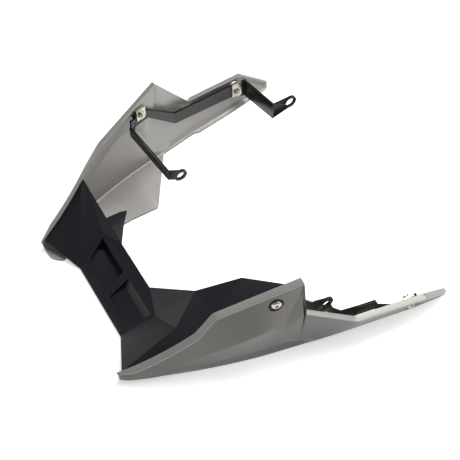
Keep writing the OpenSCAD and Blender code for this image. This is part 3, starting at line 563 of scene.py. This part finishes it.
# Each finish: the name of its material, and what makes it
FINISHES = {
    "panel_paint": ("Panel paint", paint),
    # Lighter copy of the panel paint for the inner faces, and a painted highlight on the flange tops
    "inside": ("Panel inside and flange highlight", highlight_and_inside_paint),
    "duct_plastic": ("Duct plastic", plastic),
    "bracket_steel": ("Bracket coating", coated_steel),
    "zinc_hardware": ("Zinc plating", zinc),
    "washer_plastic": ("Black nylon", nylon),
}


def finish_of(finish):
    """The material of one finish, made at its first use."""
    name, make = FINISHES[finish]
    return bpy.data.materials.get(name) or make(bpy.context.scene.belly_pan)


# Pieces


def station_list():
    """Places of the sections: every 2 mm, closer at the nose, the crease under the crown and the notch."""
    corners = [FLOOR_END_X, FLOOR_OUT_X, KNEE[0], BROW[0], ELBOW[0], TAIL[0], PAN_LEN - 1, PAN_LEN]
    x = [np.arange(0, FINE_NOSE, FINE_STEP), np.arange(FINE_NOSE, PAN_LEN, STEP),
         np.arange(FLARE_X - FINE_BEFORE, NOTCH[0] + FINE_AFTER, FINE_STEP),
         CROWN[0] + CROWN_STEPS, NOTCH[0] + NOTCH_STEPS, np.array(corners)]
    return np.unique(np.round(np.concatenate(x), 3))


def build_panel(name, side):
    """One side panel: rounded sections carried from nose to tail, closed by strips over both ends, then its
    bosses are added and its screw recesses and foot holes are cut. Its inner faces and flange top get the
    second material, a lighter copy of the paint, which on the flange top is a painted highlight."""
    left = side < 0
    x = station_list()
    rings = rounded(soft_sections(x, left), np.concatenate([OUTER_CUTS, INNER_CUTS[::-1]]))
    n, m = rings.shape[:2]
    k = np.arange(m // 2 - 1)
    cap = np.stack([k, m - 1 - k, m - 2 - k, k + 1], -1)
    faces = np.concatenate([ring_faces(n, m), cap, cap[:, ::-1] + (n - 1) * m])
    points = (rings.reshape(-1, 3) + SHIFT) * np.array([1, side, 1])
    panel = make_mesh(name, points, faces)
    cell = np.arange(m)
    # Inner faces and the flange top take the lighter paint, which on the flange top is a painted highlight
    inside = np.tile((cell >= m // 2) | (cell < 2 * ARC), n - 1)
    second = np.concatenate([inside, np.zeros(len(faces) - len(inside))]).astype(int)
    panel.data.polygons.foreach_set("material_index", second)
    cup = bpy.context.scene.belly_pan.cup_diameter / MM / 2 + CUP_GAP
    for screw in SCREWS.values():
        place, radius, end = screw_frame(side, screw), cup + screw.wall, -screw.boss
        boss = [(radius, end + BOSS_LAP), (radius, end + BOSS_CHAMFER), (radius - BOSS_CHAMFER, end)]
        recess = [(cup + out, along) for out, along in RECESS_RIM[::-1]] + [(cup, -screw.recess)]
        hole = [(SCREW_HOLE_R, HOLE_OUT), (SCREW_HOLE_R, end - HOLE_PAST)]
        boolean(panel, solid_of_revolution("boss", boss, place), "UNION")
        boolean(panel, solid_of_revolution("recess", recess, place), "DIFFERENCE")
        boolean(panel, solid_of_revolution("hole", hole, place, COARSE_TURN), "DIFFERENCE")
    for foot_x, foot_y in FOOT_HOLES:
        place = to_part(side) @ Matrix.Translation((foot_x, foot_y, 0))
        boolean(panel, solid_of_revolution("foot", FOOT_HOLE, place, COARSE_TURN), "DIFFERENCE")
    shade(panel, PANEL_SHARP)
    return panel


def head_profile(radius):
    """Button head: a quarter ellipse from the rim up to the flat round the socket."""
    edge = [(radius - HEAD_CHAMFER, 0), (radius, HEAD_CHAMFER)]
    return edge + [(mix(HEAD_FLAT_R, radius, math.cos(a)), mix(HEAD_RIM_H, HEAD_H, math.sin(a)))
                   for a in np.linspace(0, math.pi / 2, HEAD_POINTS)]


def build_screw(name, place, screw):
    """A button head screw in one turned surface: the rings of its socket are hexagons, whose radius at each
    angle is the flat's distance over the cosine of the angle from the flat's middle."""
    radius = bpy.context.scene.belly_pan.head_diameter / MM / 2
    seat = CUP_FLOOR - screw.recess
    tip = -screw.boss - 2 * CLIP_PLATE - STRAP - BARREL
    top = seat + HEAD_H
    outside = [(AXIS_R, tip), (END_R, tip), (SHANK_R, tip + END_CHAMFER), (SHANK_R, seat - SHOULDER[1]),
               (SHANK_R + SHOULDER[0], seat)]
    outside += [(r, seat + z) for r, z in head_profile(radius)]
    floor = top - SOCKET_DEPTH
    socket = [(SOCKET_R + SOCKET_CHAMFER, top), (SOCKET_R, top - SOCKET_CHAMFER), (SOCKET_R, floor),
              (AXIS_R, floor - SOCKET_CONE)]
    turn = np.linspace(0, 2 * math.pi, FINE_TURN, endpoint=False)
    hexagon = math.cos(math.pi / 6) / np.cos((turn % (math.pi / 3)) - math.pi / 6)
    factor = np.concatenate([np.ones((len(outside), FINE_TURN)), np.tile(hexagon, (len(socket), 1))])
    return solid_of_revolution(name, outside + socket, place, FINE_TURN, SCREW_SHARP, factor)


def build_washer(name, place, screw):
    """A cup washer: its turned section has a rolled rim, half an ellipse, and a round hole."""
    radius = bpy.context.scene.belly_pan.cup_diameter / MM / 2
    base = -screw.recess
    rolled = [(radius - CUP_ROLL + CUP_ROLL * math.cos(a), base + CUP_RIM_UP + CUP_ROLL_H * math.sin(a))
              for a in np.linspace(0, math.pi, CUP_ROLL_POINTS)]
    floor = base + CUP_FLOOR
    profile = [(SCREW_HOLE_R, base), (radius - CUP_EDGE, base), (radius, base + CUP_EDGE), *rolled,
               (radius - CUP_SLOPE, floor + CUP_SLOPE_UP), (SCREW_HOLE_R + HOLE_EDGE, floor),
               (SCREW_HOLE_R, floor - HOLE_EDGE), (SCREW_HOLE_R, base)]
    points, faces = lathe(profile, place, FINE_TURN)
    return make_mesh(name, points, faces, CUP_SHARP)


# Add-on


class BellyPanLook(bpy.types.PropertyGroup):
    """Sizes and colours a user would change."""

    panel_colour: bpy.props.FloatVectorProperty(
        name="Panel colour", description="Colour of the side panels", subtype="COLOR", size=3,
        default=(0.104, 0.100, 0.093), min=0, max=1)
    panel_metal: bpy.props.FloatProperty(
        name="Panel metallic", description="How metallic the panels' paint is", default=0.75, min=0, max=1,
        subtype="FACTOR")
    panel_rough: bpy.props.FloatProperty(
        name="Panel roughness", description="How matt the panels' paint is", default=0.42, min=0, max=1,
        subtype="FACTOR")
    duct_colour: bpy.props.FloatVectorProperty(
        name="Centre piece colour", description="Colour of the folded centre piece", subtype="COLOR", size=3,
        default=(0.007, 0.0078, 0.0115), min=0, max=1)
    steel_colour: bpy.props.FloatVectorProperty(
        name="Bracket colour", description="Colour of the brackets' coating", subtype="COLOR", size=3,
        default=(0.0035, 0.0035, 0.0048), min=0, max=1)
    head_diameter: bpy.props.FloatProperty(
        name="Screw head", description="Diameter of the screw heads", default=0.0135, min=0.008, max=0.016,
        unit="LENGTH", subtype="DISTANCE")
    cup_diameter: bpy.props.FloatProperty(
        name="Cup washer", description="Outer diameter of the cup washers", default=0.0175, min=0.015,
        max=0.021, unit="LENGTH", subtype="DISTANCE")


class BellyPanStage(bpy.types.PropertyGroup):
    """Floor, light and camera."""

    floor_colour: bpy.props.FloatVectorProperty(
        name="Floor colour", description="Colour of the floor", subtype="COLOR", size=3,
        default=(0.94, 0.94, 0.935), min=0, max=1)
    floor_white: bpy.props.FloatProperty(
        name="Floor white", description="Extra white of the floor where the camera and reflections see it",
        default=0.5, min=0, max=1, subtype="FACTOR")
    key_power: bpy.props.FloatProperty(
        name="Key light", description="Power of the key light; the top light has twice as much",
        default=16.0, min=0, max=200, unit="POWER")
    sky: bpy.props.FloatProperty(
        name="Sky", description="Strength of the even light from all sides", default=0.32, min=0, max=3)
    lens: bpy.props.FloatProperty(
        name="Lens", description="Focal length of the camera, in mm", default=72.39, min=20, max=200)


class BELLYPAN_OT_panels(bpy.types.Operator):
    """Build both side panels."""

    bl_idname = "belly_pan.panels"
    bl_label = "Side Panels"

    def execute(self, context):
        for word, side in SIDES:
            panel = build_panel(f"{word}_panel_shell", side)
            # The second material is the lighter paint, a painted highlight on the flange tops
            finish_piece(panel, f"{word}_panel", "panel_paint", finish_of("panel_paint"), finish_of("inside"))
        return {"FINISHED"}


class BELLYPAN_OT_duct(bpy.types.Operator):
    """Build the folded centre piece."""

    bl_idname = "belly_pan.duct"
    bl_label = "Centre Piece"

    def execute(self, context):
        duct = copy_of("centre_duct", "centre_duct_sheet")
        bevel(duct, *DUCT_BEVEL)
        finish_piece(duct, "centre_duct", "duct_plastic", finish_of("duct_plastic"))
        return {"FINISHED"}


class BELLYPAN_OT_brackets(bpy.types.Operator):
    """Build both steel brackets."""

    bl_idname = "belly_pan.brackets"
    bl_label = "Brackets"

    def execute(self, context):
        for word, _ in SIDES:
            bracket = copy_of(f"{word}_bracket", f"{word}_bracket_steel")
            bevel(bracket, *BRACKET_BEVEL)
            finish_piece(bracket, f"{word}_bracket", "bracket_steel", finish_of("bracket_steel"))
        return {"FINISHED"}


class BELLYPAN_OT_hardware(bpy.types.Operator):
    """Build the panel screws and cup washers, and finish the nuts and foot screws."""

    bl_idname = "belly_pan.hardware"
    bl_label = "Hardware"

    def execute(self, context):
        for word, side in SIDES:
            for end, screw in SCREWS.items():
                node, place = f"{word}_{end}", screw_frame(side, screw)
                turned = build_screw(f"{node}_button_screw", place, screw)
                finish_piece(turned, f"{node}_screw", "zinc_hardware", finish_of("zinc_hardware"))
                washer = build_washer(f"{node}_cup", place, screw)
                finish_piece(washer, f"{node}_cup_washer", "washer_plastic", finish_of("washer_plastic"))
                for kind in ("clip_nut", "foot_screw", "speed_nut"):
                    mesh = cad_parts[f"{node}_{kind}"].data
                    mesh.materials.clear()
                    mesh.materials.append(finish_of("zinc_hardware"))
        return {"FINISHED"}


class BELLYPAN_OT_stage(bpy.types.Operator):
    """Make the floor, the lights and the camera."""

    bl_idname = "belly_pan.stage"
    bl_label = "Stage"

    def execute(self, context):
        stage = context.scene.belly_pan_stage
        world = bpy.data.worlds.new("Studio")
        context.scene.world = world
        world.use_nodes = True
        background = world.node_tree.nodes["Background"]
        background.inputs["Color"].default_value = (1.0, 1.0, 1.0, 1.0)
        background.inputs["Strength"].default_value = stage.sky
        self.floor(stage)
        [self.lamp(context, stage, name) for name in LAMPS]
        self.camera(context, stage)
        context.scene.view_settings.view_transform = "Standard"
        return {"FINISHED"}

    def floor(self, stage):
        """A pale floor, whose extra white only the camera and reflections see."""
        corners = [(x * FLOOR_HALF, y * FLOOR_HALF, -FLOOR_UNDER)
                   for x, y in ((-1, -1), (1, -1), (1, 1), (-1, 1))]
        floor = make_mesh("Floor", corners, [[0, 1, 2, 3]])
        shader = Shader("Floor")
        camera, glossy = (shader.node("ShaderNodeLightPath", {}, {}, f"Is {kind} Ray")
                          for kind in ("Camera", "Glossy"))
        floor.data.materials.append(shader.surface(
            Base_Color=(*stage.floor_colour, 1.0), Roughness=0.9, Specular_IOR_Level=0.1,
            Emission_Color=(1.0, 1.0, 1.0, 1.0), Emission_Strength=(camera + glossy) * stage.floor_white))
        return floor

    def lamp(self, context, stage, name):
        """A square soft light that points at the part's origin."""
        share, size, at = LAMPS[name]
        data = bpy.data.lights.new(name, "AREA")
        data.energy, data.shape, data.size = stage.key_power * share, "SQUARE", size
        lamp = bpy.data.objects.new(name, data)
        context.scene.collection.objects.link(lamp)
        lamp.location = at
        lamp.rotation_euler = (-Vector(at)).to_track_quat("-Z", "Y").to_euler()
        return lamp

    def camera(self, context, stage):
        """The photograph's view: the eye is at the place solved from the mirrored corners of the pan."""
        data = bpy.data.cameras.new("Camera")
        data.lens, data.sensor_width = stage.lens, SENSOR_W
        data.clip_start, data.clip_end = CLIP_START, CLIP_END
        camera = bpy.data.objects.new("Camera", data)
        context.scene.collection.objects.link(camera)
        forward, right = Vector(FORWARD).normalized(), Vector(RIGHTWARD).normalized()
        up = right.cross(forward)
        turn = Matrix((right, up, -forward)).transposed().to_4x4()
        camera.matrix_world = Matrix.Translation(EYE) @ turn
        context.scene.camera = camera


class BELLYPAN_PT_sidebar(bpy.types.Panel):
    """Lists the sizes, colours and building steps."""

    bl_label = "Belly Pan"
    bl_space_type = "VIEW_3D"
    bl_region_type = "UI"
    bl_category = "Belly Pan"

    def draw(self, context):
        for group in (context.scene.belly_pan, context.scene.belly_pan_stage):
            for name in group.bl_rna.properties.keys():
                if name not in ("rna_type", "name"):
                    self.layout.prop(group, name)
        for operator in OPERATORS:
            self.layout.operator(operator.bl_idname)


OPERATORS = (BELLYPAN_OT_panels, BELLYPAN_OT_duct, BELLYPAN_OT_brackets, BELLYPAN_OT_hardware,
             BELLYPAN_OT_stage)
CLASSES = (BellyPanLook, BellyPanStage, *OPERATORS, BELLYPAN_PT_sidebar)


def register():
    for cls in CLASSES:
        bpy.utils.register_class(cls)
    bpy.types.Scene.belly_pan = bpy.props.PointerProperty(type=BellyPanLook)
    bpy.types.Scene.belly_pan_stage = bpy.props.PointerProperty(type=BellyPanStage)


def unregister():
    del bpy.types.Scene.belly_pan_stage
    del bpy.types.Scene.belly_pan
    for cls in reversed(CLASSES):
        bpy.utils.unregister_class(cls)


def main():
    register()
    for step in (bpy.ops.belly_pan.panels, bpy.ops.belly_pan.duct, bpy.ops.belly_pan.brackets,
                 bpy.ops.belly_pan.hardware, bpy.ops.belly_pan.stage):
        if step() != {"FINISHED"}:
            raise RuntimeError(f"{step} did not finish")


if __name__ == "__main__":
    main()
